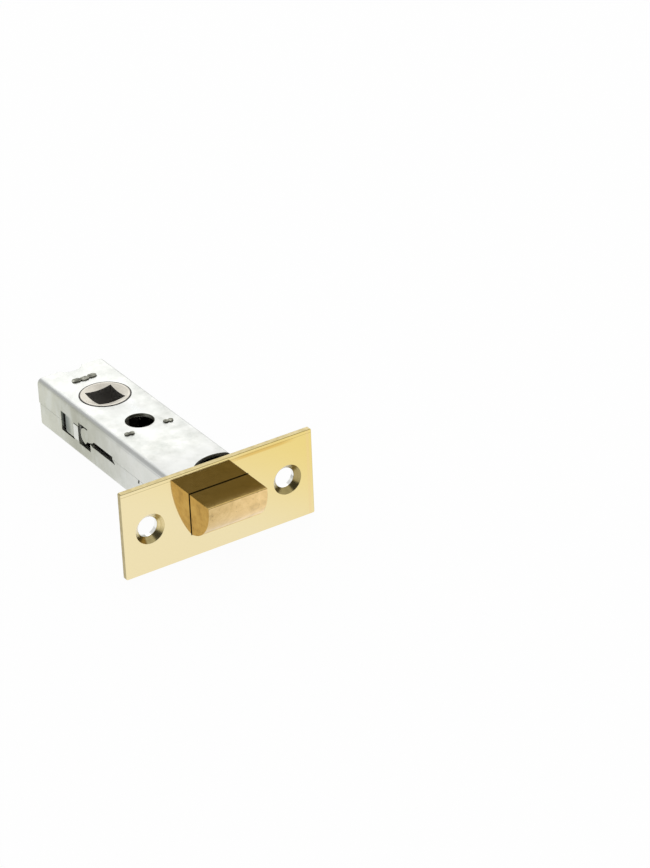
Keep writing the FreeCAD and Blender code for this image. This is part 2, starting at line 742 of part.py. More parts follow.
def staked_tab(body, name, plate_front, plate_thick, centre, length, lobes):
    """A tab through both shells, each end spread over the wall in staggered round lobes."""
    back = plate_front + plate_thick
    tab = rectangle(
        body, name, "YZ_Plane", -back, (centre - length / 2, -half_height), (centre + length / 2, half_height))
    pad(body, tab, plate_thick)
    spread_length = length + stake_spread * 2
    lobe_length = (spread_length + stake_overlap * (lobes - 1)) / lobes
    radius = smaller(plate_thick / 2 + stake_spread, lobe_length * 0.47)
    step = lobe_length - stake_overlap
    for level, side in ((half_height, "upper"), (-half_height - stake_rise, "lower")):
        for index in range(lobes):
            middle = plate_front + plate_thick / 2 + stake_stagger * (1 - 2 * (index % 2))
            low = centre - spread_length / 2 + step * index
            first = low + radius
            last = low + lobe_length - radius
            points = [
                (-middle + radius, first), (-middle + radius, last), (-middle - radius, last),
                (-middle - radius, first)]
            arcs = {1: (radius * 1.0001, 1), 3: (radius * 1.0001, 1)}
            label = "%s_%s_%d" % (name, side, index + 1)
            pad(body, outline(body, label, "XY_Plane", level, points, arcs), stake_rise)


def round_corners(body, name):
    """Rounds a cross plate's outer corners, so that they clear the shells' inner folds."""

    def on_corner(first, middle, last):
        at_corner = near(abs(middle.y), plate_half_width) and near(abs(middle.z), plate_half_height)
        return along("x", first, last) and at_corner

    dress(body, "Fillet", name, on_corner, "Radius", inner_fold + fit_gap)


# Spring plate: the wall that the springs push against, staked by four tabs
def make_spring_plate():
    body = new_body("spring_plate")
    wide = plate_half_width
    high = plate_half_height
    notch_in = rail_inner - rail_gap
    notch_low = draw_under - rail_gap
    profile = [
        (-wide, -high), (wide, -high), (wide, notch_low), (notch_in, notch_low), (notch_in, high),
        (-notch_in, high), (-notch_in, notch_low), (-wide, notch_low)]
    back = spring_plate_front + spring_plate_thick
    pad(body, outline(body, "spring_plate_face", "YZ_Plane", -back, profile), spring_plate_thick)
    round_corners(body, "spring_plate_corners")
    for name, centre in (("front_tab_far", front_tab_centre), ("front_tab_near", -front_tab_centre)):
        staked_tab(body, name, spring_plate_front, spring_plate_thick, centre, front_tab_length, 2)
    return body


# Rear plate: closes the case behind the follower, staked by one tab above and below
def make_rear_plate():
    body = new_body("rear_plate")
    back = rear_plate_front + rear_plate_thick
    face = rectangle(
        body, "rear_plate_face", "YZ_Plane", -back, (-plate_half_width, -plate_half_height),
        (plate_half_width, plate_half_height))
    pad(body, face, rear_plate_thick)
    round_corners(body, "rear_plate_corners")
    staked_tab(body, "rear_tab", rear_plate_front, rear_plate_thick, as_size(0), rear_tab_length, 3)
    return body


# Latch bolt, with holes in its back for the three pins
def make_bolt():
    body = new_body("bolt")
    across = bolt_throw + bevel_foot
    drop = bolt_height - nose_flat
    bevel_radius = (across * across + drop * drop) / (across * 2)
    profile = [
        (-bolt_inside, -bolt_height / 2), (-bevel_foot, -bolt_height / 2),
        (bolt_throw, bolt_height / 2 - nose_flat), (bolt_throw, bolt_height / 2),
        (-bolt_inside, bolt_height / 2)]
    side = outline(body, "bolt_side", "XZ_Plane", -bolt_width / 2, profile, {1: (bevel_radius, 1)})
    pad(body, side, bolt_width)
    level = -bolt_inside + pin_depth
    guide = circles(body, "guide_hole", "YZ_Plane", level, [(0, 0)], guide_diameter + press_gap * 2)
    pocket(body, guide, pin_depth + fit_gap)
    centres = [(-return_place, 0), (return_place, 0)]
    pulls = circles(body, "pull_holes", "YZ_Plane", level, centres, pin_diameter + press_gap * 2)
    pocket(body, pulls, pin_depth + fit_gap)

    def on_nose(first, middle, last):
        at_tip = near(first.x, bolt_throw) and near(last.x, bolt_throw)
        return at_tip and along("y", first, last) and near(middle.z, bolt_height / 2)

    dress(body, "Fillet", "bolt_nose", on_nose, "Radius", bolt_edge_round)
    return body


def turned_pin(label, points, side):
    """A pin turned about X. side is how far it stands from the middle, along Y."""
    body = new_body(label)
    revolve(body, "Revolution", outline(body, label + "_half", "XZ_Plane", 0, points), "H_Axis")
    bind(body, "Placement.Base.y", side)
    return body


# Guide pin: keeps the bolt's spring straight, its head against the bolt's back
def make_guide_pin():
    front = -bolt_inside + pin_depth - fit_gap
    end = -(spring_plate_front - bolt_throw - crossbar_gap * 2)
    radius = guide_diameter / 2
    points = [(front, 0), (front, radius), (end + fit_gap * 3, radius), (end, radius - fit_gap * 3), (end, 0)]
    return turned_pin("guide_pin", points, as_size(0))


# Pull pins: their heads lie behind the draw plate's crossbar and take the bolt back
def make_pull_pin(label, side):
    front = -bolt_inside + pin_depth - fit_gap
    shoulder = -(crossbar_back + fit_gap)
    end = shoulder - pull_pin_head_thick
    shank = pin_diameter / 2
    head = pin_head / 2
    points = [
        (front, 0), (front, shank), (shoulder, shank), (shoulder, head),
        (end + fit_gap * 2, head), (end, head - fit_gap * 2), (end, 0)]
    return turned_pin(label, points, return_place * side)


def make_spring(label, diameter, wire, turns, start, side):
    """A coil spring along X that fills the space back to the spring plate."""
    space = spring_plate_front - start - wire - fit_gap * 2
    helix = doc.addObject("Part::Helix", label + "_path")
    bind(helix, "Radius", (diameter - wire) / 2)
    bind(helix, "Height", space)
    bind(helix, "Pitch", space / turns)
    section = doc.addObject("Part::Circle", label + "_section")
    bind(section, "Radius", wire / 2)
    bind(section, "Placement.Base.x", (diameter - wire) / 2)
    section.Placement.Rotation = FreeCAD.Rotation(FreeCAD.Vector(1, 0, 0), 90)
    doc.recompute()
    coil = doc.addObject("Part::Sweep", label)
    coil.Label = label
    coil.Sections = [section]
    coil.Spine = (helix, ["Edge%d" % (index + 1) for index in range(len(helix.Shape.Edges))])
    coil.Solid = True
    coil.Frenet = True
    coil.Placement.Rotation = FreeCAD.Rotation(FreeCAD.Vector(0, 1, 0), -90)
    bind(coil, "Placement.Base.x", -(start + wire / 2 + fit_gap))
    bind(coil, "Placement.Base.y", side)
    return coil


# Draw plate: a folded fork, its crossbar behind the bolt and its rails beside the hub
def make_draw_plate():
    body = new_body("draw_plate")
    wide = draw_half_width
    strip_back = crossbar_back + crossbar_web
    fork = [
        (-crossbar_front, wide), (-draw_tab_back, wide), (-draw_tab_back, fork_inner), (-rail_step, fork_inner),
        (-rail_step, rail_inner), (-strip_back, rail_inner), (-strip_back, -rail_inner),
        (-rail_step, -rail_inner), (-rail_step, -fork_inner), (-draw_tab_back, -fork_inner),
        (-draw_tab_back, -wide), (-crossbar_front, -wide)]
    pad(body, outline(body, "fork", "XY_Plane", draw_under, fork), draw_thick)
    bar = rectangle(body, "crossbar", "YZ_Plane", -crossbar_back, (-wide, -draw_low), (wide, draw_top))
    pad(body, bar, draw_thick)
    level = -crossbar_front + fit_gap
    middle = circles(body, "spring_way", "YZ_Plane", level, [(0, 0)], bolt_coil + crossbar_web)
    pocket(body, middle, draw_thick + crossbar_web * 0.5)
    centres = [(-return_place, 0), (return_place, 0)]
    ways = circles(body, "pin_ways", "YZ_Plane", level, centres, pin_diameter + crossbar_gap)
    pocket(body, ways, draw_thick + crossbar_web * 0.5)
    tab = rectangle(
        body, "draw_tab", "XY_Plane", -wing_low, (-draw_tab_back, fork_inner), (-draw_tab_front, tab_outer))
    mirrored(body, pad(body, tab, wing_low + draw_under), "XZ_Plane")

    def on_fold(first, middle, last):
        at_fold = near(middle.x, -crossbar_front) and near(middle.z, draw_top)
        return at_fold and along("y", first, last)

    dress(body, "Fillet", "draw_fold", on_fold, "Radius", draw_thick * 0.7)
    return body


# Follower: a cast hub with a square hole, two journals, two collars and two wings
def make_follower():
    body = new_body("follower")
    journal = hub_diameter / 2
    collar = collar_diameter / 2
    top = half_height + hub_proud
    shoulder = room_half_height - fit_gap
    step = draw_top + fit_gap * 1.5
    profile = [
        (0, -top), (journal, -top), (journal, -shoulder), (collar, -shoulder), (collar, -step),
        (waist_radius, -step), (waist_radius, step), (collar, step), (collar, shoulder),
        (journal, shoulder), (journal, top), (0, top)]
    revolve(body, "Revolution", outline(body, "hub_half", "XZ_Plane", 0, profile), "V_Axis")

    root = spindle_square / 2 - fit_gap * 8
    ahead, aside = sine(wing_rest_angle), cosine(wing_rest_angle)
    edge = as_size(0.001)
    corners = ((root, edge), (wing_reach, edge), (wing_reach - fit_gap * 4, wing_tip), (root, wing_root))
    wing = []
    for out, thick in corners:
        wing.append((ahead * out + aside * thick, aside * out - ahead * thick))
    wing_high = draw_under - crossbar_gap
    far_wing = pad(body, outline(body, "wing", "XY_Plane", -wing_low, wing), wing_low + wing_high)
    mirrored(body, far_wing, "XZ_Plane")

    half = spindle_square / 2
    square = rectangle(body, "spindle_hole", "XY_Plane", top + fit_gap, (-half, -half), (half, half))
    pocket(body, square, None)
    dish = dish_diameter / 2
    cone = dish_depth * dish / (dish - half)
    dish_half = outline(body, "dish", "XZ_Plane", 0, [(0, top), (0, top - cone), (dish, top)])
    upper = revolve(body, "Groove", dish_half, "V_Axis")
    mirrored(body, upper, "XY_Plane")
    bind(body, "Placement.Base.x", -backset)
    return body


forend = make_forend()
inner_forend = make_inner_forend()
case_upper = make_case_upper()
case_lower = make_case_lower()
spring_plate = make_spring_plate()
rear_plate = make_rear_plate()
bolt = make_bolt()
guide_pin = make_guide_pin()
pull_pin_near = make_pull_pin("pull_pin_near", -1)
pull_pin_far = make_pull_pin("pull_pin_far", 1)
draw_plate = make_draw_plate()
follower = make_follower()
bolt_spring = make_spring(
    "bolt_spring", bolt_coil, bolt_spring_wire, bolt_spring_turns, bolt_inside, as_size(0))
return_springs = []
for name, side in (("return_spring_near", -1), ("return_spring_far", 1)):
    return_springs.append(make_spring(
        name, return_spring_diameter, return_spring_wire, return_spring_turns, crossbar_back,
        return_place * side))

doc.recompute()

parts = [
    forend, inner_forend, case_upper, case_lower, spring_plate, rear_plate, bolt, guide_pin,
    pull_pin_near, pull_pin_far, draw_plate, follower, bolt_spring] + return_springs

for item in doc.Objects:
    if "Invalid" in item.State or "Error" in item.State:
        raise RuntimeError("failed: %s %s" % (item.Name, item.State))
for cut, before in cuts:
    if cut.Shape.Volume >= before.Shape.Volume - 1e-6:
        raise RuntimeError("cuts nothing: " + cut.Name)
for part in parts:
    if part.Shape.isNull() or not part.Shape.isValid() or len(part.Shape.Solids) != 1:
        raise RuntimeError("bad shape: %s, %d solids" % (part.Label, len(part.Shape.Solids)))

os.makedirs("parts", exist_ok=True)
for part in parts:
    part.Shape.exportStep("parts/" + part.Label + ".step")
    print(part.Label, round(part.Shape.Volume, 1), "mm3")
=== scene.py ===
# %% [markdown]
# # A tubular door latch
#
# The latch lies on its forend's long edge and on the rear end of its case. The real
# one is a polished brass plate and a brass bolt on a slim folded steel case, with a
# cast follower that a square spindle turns. The solids and their joints come from the
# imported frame, in metres. This notebook gives them their edges, their marks and their
# finishes, and sets up the camera and the light.

# %% Load the frame
import bmesh
import bpy
import math
from mathutils import Matrix, Vector


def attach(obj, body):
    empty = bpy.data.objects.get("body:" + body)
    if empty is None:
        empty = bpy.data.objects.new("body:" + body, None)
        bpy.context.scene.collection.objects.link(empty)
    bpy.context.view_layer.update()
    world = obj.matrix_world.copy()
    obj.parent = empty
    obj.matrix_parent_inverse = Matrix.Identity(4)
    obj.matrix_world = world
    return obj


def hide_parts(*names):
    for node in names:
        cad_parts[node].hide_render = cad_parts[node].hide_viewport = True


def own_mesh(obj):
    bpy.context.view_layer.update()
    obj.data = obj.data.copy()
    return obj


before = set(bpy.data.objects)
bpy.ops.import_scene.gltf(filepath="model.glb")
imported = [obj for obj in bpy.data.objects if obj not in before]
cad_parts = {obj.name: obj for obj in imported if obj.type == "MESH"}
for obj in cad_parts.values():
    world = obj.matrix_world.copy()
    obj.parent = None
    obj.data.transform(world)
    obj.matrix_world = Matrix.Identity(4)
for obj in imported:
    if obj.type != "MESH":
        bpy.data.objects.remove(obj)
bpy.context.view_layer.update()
print("nodes:", sorted(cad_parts))

# %% Millimetres and places
MM = 0.001

# Where the latch stands on the floor, in metres
FOREND_LOW = -12.5 * MM
CASE_REAR = -75.7 * MM
CASE_LOW = -7.15 * MM
PLATE_REAR_EDGE = -1.5 * MM

# Places that the finishes are drawn round, in millimetres
SCREW_HOLE_Y = 20.65
HUB_X = -57.5
THROUGH_HOLE_X = -39.3
NEAR_WALL_Y = -10.4
CASE_TOP_Z = 7.15

# %% [markdown]
# ## The camera
#
# The picture was taken from above, ahead of the forend and to its left, with a long
# lens. The place and the three directions below were solved from the sizes of the
# latch.

# %% Camera
camera_data = bpy.data.cameras.new("camera")
camera_data.sensor_width = 36.0
camera_data.lens = 131.88
camera_data.clip_start = 0.01
camera_data.clip_end = 20.0
camera = bpy.data.objects.new("camera", camera_data)
bpy.context.collection.objects.link(camera)
right = Vector((0.55224, 0.83293, -0.03545))
up = Vector((-0.38809, 0.29448, 0.87331))
back = Vector((0.73784, -0.46852, 0.48588))
camera.matrix_world = Matrix((
    (right.x, up.x, back.x, 0.60732),
    (right.y, up.y, back.y, -0.35297),
    (right.z, up.z, back.z, 0.40941),
    (0.0, 0.0, 0.0, 1.0),
))
bpy.context.scene.camera = camera
bpy.context.scene.view_settings.view_transform = "Standard"

# %% [markdown]
# ## A helper for materials
#
# Every finish here is one Principled shader with a few textures in front of it. The
# helper makes the tree and returns small functions, so each finish reads as a list of
# what it has. All textures use Object coordinates, which are metres on the latch.

# %% Material helper
class Finish:
    """One material: its node tree, its shader and short ways to add textures."""

    def __init__(self, name, roughness):
        self.material = bpy.data.materials.new(name)
        self.material.use_nodes = True
        self.tree = self.material.node_tree
        self.shader = self.tree.nodes["Principled BSDF"]
        self.shader.inputs["Metallic"].default_value = 1.0
        self.shader.inputs["Roughness"].default_value = roughness
        self.place = self.tree.nodes.new("ShaderNodeTexCoord").outputs["Object"]
        self.count = 0

    def node(self, kind, **settings):
        """A new node, laid out in rows of six to the left of the shader."""
        made = self.tree.nodes.new(kind)
        self.count += 1
        made.location = (-220 * (self.count % 6) - 300, -180 * (self.count // 6))
        for name, value in settings.items():
            setattr(made, name, value)
        return made

    def link(self, output, node, socket):
        self.tree.links.new(output, node.inputs[socket])

    def mapped(self, scale, turn=(0, 0, 0)):
        """Object coordinates, stretched and turned."""
        mapping = self.node("ShaderNodeMapping")
        mapping.inputs["Scale"].default_value = scale
        mapping.inputs["Rotation"].default_value = turn
        self.link(self.place, mapping, "Vector")
        return mapping.outputs["Vector"]

    def noise(self, scale, detail=4.0, rough=0.55, where=None):
        texture = self.node("ShaderNodeTexNoise")
        texture.inputs["Scale"].default_value = scale
        texture.inputs["Detail"].default_value = detail
        texture.inputs["Roughness"].default_value = rough
        self.link(where or self.place, texture, "Vector")
        return texture.outputs["Fac"]

    def cells(self, scale):
        """A random colour for each crystal of a plated surface."""
        texture = self.node("ShaderNodeTexVoronoi", feature="SMOOTH_F1")
        texture.inputs["Scale"].default_value = scale
        texture.inputs["Smoothness"].default_value = 0.35
        self.link(self.place, texture, "Vector")
        return texture.outputs["Color"]

    def combine(self, operation, first, second):
        """One Math node. Each input is a number or another node's output."""
        math_node = self.node("ShaderNodeMath", operation=operation)
        for socket, value in enumerate((first, second)):
            if isinstance(value, bpy.types.NodeSocket):
                self.link(value, math_node, socket)
            else:
                math_node.inputs[socket].default_value = value
        return math_node.outputs[0]

    def times(self, first, second):
        return self.combine("MULTIPLY", first, second)

    def axis(self, letter):
        """One coordinate of the place, in millimetres."""
        apart = self.node("ShaderNodeSeparateXYZ")
        self.link(self.place, apart, "Vector")
        return self.times(apart.outputs[letter], 1000.0)

    def far_from(self, *parts):
        """The distance from a line. Each part is one coordinate and its centre."""
        total = 0.0
        for value, centre in parts:
            away = self.combine("SUBTRACT", value, centre)
            total = self.combine("ADD", self.times(away, away), total)
        return self.combine("SQRT", total, 0.0)

    def falling(self, value, low, high):
        """1 below low and 0 above high."""
        return self.combine("SUBTRACT", 1.0, self.rising(value, low, high))

    def rising(self, value, low, high):
        """0 below low and 1 above high, with a soft step between them."""
        step = self.node("ShaderNodeMapRange", interpolation_type="SMOOTHSTEP")
        step.inputs["From Min"].default_value = low
        step.inputs["From Max"].default_value = high
        self.link(value, step, "Value")
        return step.outputs["Result"]

    def ramp(self, value, *stops):
        """A colour ramp: each stop is a place and a colour or a grey level."""
        ramp = self.node("ShaderNodeValToRGB")
        points = ramp.color_ramp.elements
        while len(points) < len(stops):
            points.new(0.5)
        for point, (place, colour) in zip(points, stops):
            point.position = place
            grey = (colour, colour, colour)
            point.color = (*(colour if isinstance(colour, tuple) else grey), 1.0)
        self.link(value, ramp, "Fac")
        return ramp.outputs["Color"]

    def mix(self, share, first, second, blend="MIX"):
        """Mixes two colours. share is a number or a texture's output."""
        mix = self.node("ShaderNodeMix", data_type="RGBA", blend_type=blend)
        for socket, value in ((0, share), (6, first), (7, second)):
            if isinstance(value, bpy.types.NodeSocket):
                self.link(value, mix, socket)
            elif socket == 0:
                mix.inputs[0].default_value = value
            else:
                mix.inputs[socket].default_value = (*value, 1.0)
        return mix.outputs[2]

    def soft_edges(self, radius):
        """A normal that rounds the sharp edges a little, as tumbling or wear does."""
        rounded = self.node("ShaderNodeBevel", samples=6)
        rounded.inputs["Radius"].default_value = radius
        return rounded.outputs["Normal"]

    def bump(self, height, distance, strength, under=None):
        """A normal that a height tilts. under is the normal that it starts from."""
        bump = self.node("ShaderNodeBump")
        bump.inputs["Strength"].default_value = strength
        bump.inputs["Distance"].default_value = distance
        self.link(height, bump, "Height")
        if under is not None:
            self.link(under, bump, "Normal")
        return bump.outputs["Normal"]

    def colour(self, output):
        self.link(output, self.shader, "Base Color")

    def roughness(self, output):
        self.link(output, self.shader, "Roughness")

    def normal(self, output):
        self.link(output, self.shader, "Normal")


# %% [markdown]
# ## Polished brass
#
# The forend is buffed to a mirror. Buffing leaves the sheet very slightly wavy, and a
# few hairlines run along it. A low roughness carries the mirror, and two noises, one
# wide and one fine, carry the waves and the hairlines. The colour is deeper towards the
# far top corner. A short warm streak and two thin dark lines along the top, and a warm
# band and a dark edge at the far end, are painted shade. The cut edges and the back
# aren't buffed, so they are satin. The countersinks are cut after the buffing, so their
# cones are turned and duller. The far cone, and the lower halves of both cones, are
# painted darker as painted shade.

# %% Polished brass
def polished_brass():
    finish = Finish("polished_brass", 0.06)
    along_y, up_z, out_x = finish.axis("Y"), finish.axis("Z"), finish.axis("X")
    corner = finish.combine("ADD", finish.times(along_y, 0.6), up_z)
    corner = finish.rising(corner, -10.0, 27.0)
    base = finish.ramp(corner, (0.0, (0.875, 0.755, 0.455)), (1.0, (0.86, 0.68, 0.25)))
    # Painted shade: a warm dark streak along the top of the face, towards the far end.
    painted_top_streak = finish.falling(finish.far_from((up_z, 11.3)), 0.15, 0.8)
    painted_top_streak = finish.times(painted_top_streak, finish.rising(along_y, 1.0, 9.0))
    painted_top_streak = finish.times(painted_top_streak, finish.falling(along_y, 18.0, 25.0))
    base = finish.mix(finish.times(painted_top_streak, 0.6), base, (0.70, 0.42, 0.08))
    # Painted shade: two thin dark lines along the rounded top edge.
    painted_rim_shade = finish.rising(up_z, 12.34, 12.42)
    painted_edge_line = finish.falling(finish.far_from((up_z, 11.55)), 0.03, 0.13)
    lines = finish.combine("MAXIMUM", finish.times(painted_rim_shade, 0.55), finish.times(painted_edge_line, 0.4))
    base = finish.mix(lines, base, (0.30, 0.23, 0.07))
    # Painted shade: a warm band and a darker edge at the far end of the plate.
    painted_end_band = finish.falling(finish.far_from((along_y, 27.2)), 0.25, 0.55)
    base = finish.mix(finish.times(painted_end_band, 0.28), base, (0.86, 0.62, 0.33))
    painted_far_end_shade = finish.rising(along_y, 28.2, 28.4)
    base = finish.mix(finish.times(painted_far_end_shade, 0.5), base, (0.48, 0.42, 0.20))
    hairs = finish.noise(9000, 2, where=finish.mapped((0.4, 0.05, 1.0)))
    gloss = finish.ramp(hairs, (0.35, 0.035), (0.75, 0.10))
    satin = finish.falling(out_x, -0.22, -0.08)
    worn = finish.ramp(finish.noise(700, 4), (0.3, (0.37, 0.30, 0.13)), (0.7, (0.50, 0.42, 0.22)))
    base = finish.mix(satin, base, worn)
    gloss = finish.mix(satin, gloss, (0.28, 0.28, 0.28))

    beside = finish.combine("ABSOLUTE", along_y, 0.0)
    from_hole = finish.far_from((beside, SCREW_HOLE_Y), (up_z, 0.0))
    cone = finish.times(finish.falling(from_hole, 4.2, 4.28), finish.falling(out_x, -0.06, -0.02))
    rings = finish.noise(1.0, 3, where=finish.times(from_hole, 9.0))
    turned = finish.ramp(rings, (0.38, (0.56, 0.44, 0.19)), (0.62, (0.84, 0.71, 0.40)))
    # Painted shade: the far countersink is darker all round, and both are darker in their lower
    # halves.
    painted_far_cone_shade = finish.times(finish.rising(along_y, 0.0, 1.0), 0.85)
    turned = finish.mix(painted_far_cone_shade, turned, (0.36, 0.28, 0.11))
    painted_low_half_shade = finish.times(finish.falling(up_z, -2.2, -0.3), 0.70)
    turned = finish.mix(painted_low_half_shade, turned, (0.30, 0.245, 0.10))
    finish.colour(finish.mix(cone, base, turned))
    finish.roughness(finish.mix(cone, gloss, (0.20, 0.20, 0.20)))
    waves = finish.bump(finish.noise(60, 2), 0.02 * MM, 0.25, under=finish.soft_edges(0.12 * MM))
    finish.normal(finish.bump(hairs, 0.002 * MM, 0.2, under=waves))
    return finish.material


# %% [markdown]
# ## Dull brass
#
# The bolt is machined bar, not buffed. Its faces show fine tool lines and a mottled
# brown tarnish with small dark specks. The flat top is painted browner, as painted
# shade. The strike keeps the bevel bright and tan, and painted shade darkens the bevel
# towards its near end. The part inside the case is painted near black, as painted shade.

# %% Dull brass
def dull_brass():
    finish = Finish("dull_brass", 0.15)
    along_y, up_z, out_x = finish.axis("Y"), finish.axis("Z"), finish.axis("X")
    cloud = finish.noise(330, 6, 0.62)
    base = finish.ramp(
        cloud, (0.32, (0.40, 0.26, 0.08)), (0.48, (0.57, 0.38, 0.125)), (0.72, (0.66, 0.47, 0.18)))
    tan = finish.ramp(
        cloud, (0.30, (0.67, 0.48, 0.22)), (0.44, (0.83, 0.59, 0.27)), (0.72, (0.98, 0.72, 0.36)))
    # Painted shade: the bevel's tan is darker towards the near end.
    shade = finish.ramp(finish.rising(along_y, -8.0, 8.0), (0.0, (0.79, 0.79, 0.77)), (1.0, 1.0))
    tan = finish.mix(1.0, tan, shade, "MULTIPLY")
    bevel = finish.times(finish.rising(along_y, -8.75, -8.65), finish.falling(up_z, 5.7, 5.85))
    base = finish.mix(bevel, base, tan)
    specks = finish.ramp(finish.noise(1500, 3, 0.7), (0.64, 0.0), (0.70, 1.0))
    base = finish.mix(finish.times(specks, 0.7), base, (0.24, 0.16, 0.07))
    # Painted shade: the flat top is painted browner.
    top = finish.rising(up_z, 5.85, 5.94)
    painted_top_brown = finish.ramp(cloud, (0.3, (0.50, 0.35, 0.11)), (0.7, (0.66, 0.48, 0.19)))
    base = finish.mix(top, base, painted_top_brown)
    # Painted shade: the part inside the case is painted near black.
    painted_inside_shade = finish.falling(out_x, 0.15, 0.45)
    finish.colour(finish.mix(painted_inside_shade, base, (0.05, 0.038, 0.02)))
    lines = finish.noise(2600, 3, where=finish.mapped((1.0, 0.06, 1.0)))
    finish.roughness(finish.ramp(cloud, (0.3, 0.19), (0.7, 0.12)))
    finish.normal(finish.bump(lines, 0.01 * MM, 0.2, under=finish.soft_edges(0.15 * MM)))
    return finish.material


# %% [markdown]
# ## Zinc plate on folded sheet
#
# Zinc plating on rolled sheet is pale and slightly green. It has soft cloudy marks, and
# crystals about two millimetres wide that each catch the light a little differently. The
# clouds change the colour a little and the roughness more, and the crystals also tilt
# the surface, which is how they show on the real sheet. Painted light and shade lie on
# top of this. The near side is painted paler towards the forend and darker towards the
# rear, with painted grey bands along its fold. The top is painted paler towards the
# rear and darker towards the forend, and the far half of the case is painted darker.
# The pressed flap is painted dark as painted shade, and the clip's outer face is painted
# pale as a painted highlight. Grease from the follower marks the sheet round its hole,
# and the cut edges, which have no plating, are darker.

# %% Zinc plate
def zinc_sheet():
    finish = Finish("zinc_plated_sheet", 0.34)
    along_x, along_y, up_z = finish.axis("X"), finish.axis("Y"), finish.axis("Z")
    cloud = finish.noise(170, 6, 0.62)
    base = finish.ramp(
        cloud, (0.30, (0.54, 0.55, 0.51)), (0.45, (0.63, 0.635, 0.60)),
        (0.58, (0.68, 0.682, 0.655)), (0.74, (0.66, 0.68, 0.68)))
    crystals = finish.cells(520)
    base = finish.mix(finish.ramp(crystals, (0.2, 0.25), (0.8, 0.0)), base, (0.46, 0.49, 0.46))
    marks = finish.ramp(finish.noise(560, 5, 0.7), (0.58, 0.0), (0.72, 1.0))
    base = finish.mix(finish.times(marks, 0.32), base, (0.42, 0.43, 0.40))
    wiped = finish.noise(75, 5, 0.6, where=finish.mapped((0.7, 1.3, 1.0)))
    smears = finish.ramp(wiped, (0.42, 0.0), (0.62, 1.0))
    base = finish.mix(finish.times(smears, 0.36), base, (0.46, 0.465, 0.455))
    # Painted shade: the far half of the case is darker, in patches.
    painted_far_shade = finish.rising(along_y, 5.5, 10.4)
    painted_far_shade = finish.times(painted_far_shade, finish.ramp(cloud, (0.35, 0.42), (0.6, 0.12)))
    base = finish.mix(painted_far_shade, base, (0.44, 0.445, 0.43))
    on_top = finish.rising(up_z, 7.05, 7.14)
    # Painted light and shade on the top: paler towards the rear, darker towards the forend.
    painted_rear_top_light = finish.times(on_top, finish.falling(along_x, -66, -50))
    base = finish.mix(finish.times(painted_rear_top_light, 0.2), base, (0.85, 0.86, 0.83))
    painted_front_top_shade = finish.times(on_top, finish.rising(along_x, -26, -12))
    base = finish.mix(finish.times(painted_front_top_shade, 0.6), base, (0.50, 0.503, 0.49))

    near = finish.falling(along_y, NEAR_WALL_Y, -9.7)
    # Painted light: the near side is paler towards the forend.
    painted_forward_light = finish.times(near, finish.rising(along_x, -50, -12))
    base = finish.mix(finish.times(painted_forward_light, 0.7), base, (0.84, 0.85, 0.80))
    # Painted reflection: grey bands along the near top fold.
    from_fold = finish.times(finish.far_from((along_y, NEAR_WALL_Y), (up_z, CASE_TOP_Z)), 0.5)
    painted_fold_bands = finish.ramp(
        from_fold, (0.20, 0.15), (0.36, 0.75), (0.48, 0.20), (0.62, 0.65), (0.80, 0.0))
    base = finish.mix(painted_fold_bands, base, (0.50, 0.515, 0.51))
    tint = finish.times(near, finish.falling(along_x, -58, -22))
    base = finish.mix(finish.times(tint, 0.6), base, (0.66, 0.67, 0.54))
    # Painted shade: the near side is darker towards the rear.
    painted_rear_shade = finish.rising(along_x, -78, -6)
    painted_rear_shade = finish.ramp(painted_rear_shade, (0.04, 0.10), (0.22, 0.62), (0.6, 0.20), (1.0, 0.0))
    base = finish.mix(finish.times(near, painted_rear_shade), base, (0.29, 0.295, 0.225))
    streaks = finish.noise(300, 3, where=finish.mapped((1.0, 1.0, 0.45)))
    streaks = finish.ramp(streaks, (0.46, 0.0), (0.66, 1.0))
    base = finish.mix(finish.times(finish.times(streaks, near), 0.3), base, (0.72, 0.75, 0.73))
    # Painted shade: the pressed flap is painted dark.
    painted_flap_shade = finish.times(
        finish.falling(along_x, -61.0, -57.8), finish.rising(along_x, -63.7, -63.4))
    painted_flap_shade = finish.times(painted_flap_shade, finish.falling(finish.far_from((up_z, 0.2)), 2.0, 2.9))
    painted_flap_shade = finish.times(painted_flap_shade, finish.falling(along_y, -8.9, -8.6))
    base = finish.mix(finish.times(painted_flap_shade, 0.85), base, (0.13, 0.16, 0.145))
    # Painted highlight: the clip's outer face, proud of the wall, is painted pale.
    base = finish.mix(finish.falling(along_y, -10.46, -10.41), base, (0.72, 0.73, 0.68))

    from_hub = finish.far_from((along_x, HUB_X), (along_y, 0.0))
    grease = finish.times(finish.falling(from_hub, 7.1, 7.25), 0.4)
    base = finish.mix(grease, base, (0.20, 0.19, 0.17))
    cut_edge = finish.far_from((along_x, THROUGH_HOLE_X), (along_y, 0.0))
    cut_edge = finish.falling(cut_edge, 3.98, 4.03)
    base = finish.mix(cut_edge, base, (0.36, 0.36, 0.31))
    finish.colour(base)
    finish.roughness(finish.ramp(cloud, (0.3, 0.42), (0.7, 0.27)))
    tilt = finish.bump(crystals, 0.03 * MM, 0.4, under=finish.soft_edges(0.15 * MM))
    finish.normal(finish.bump(finish.noise(420, 5), 0.03 * MM, 0.4, under=tilt))
    return finish.material


# %% [markdown]
# ## Staked steel, plated steel, cast zinc and spring wire
#
# The cross plates' tabs are hammered over, so the plating on their heads is bruised to
# a grey olive with paler bright spots. The follower is a zinc casting, cream and grainy.
# It is painted near black beyond its collar and darker in its square, as painted shade.
# The springs are drawn wire.

# %% Staked and plated steel
PLATE_TONES = (
    (0.3, (0.34, 0.34, 0.29)), (0.5, (0.45, 0.45, 0.39)), (0.75, (0.60, 0.60, 0.54)))


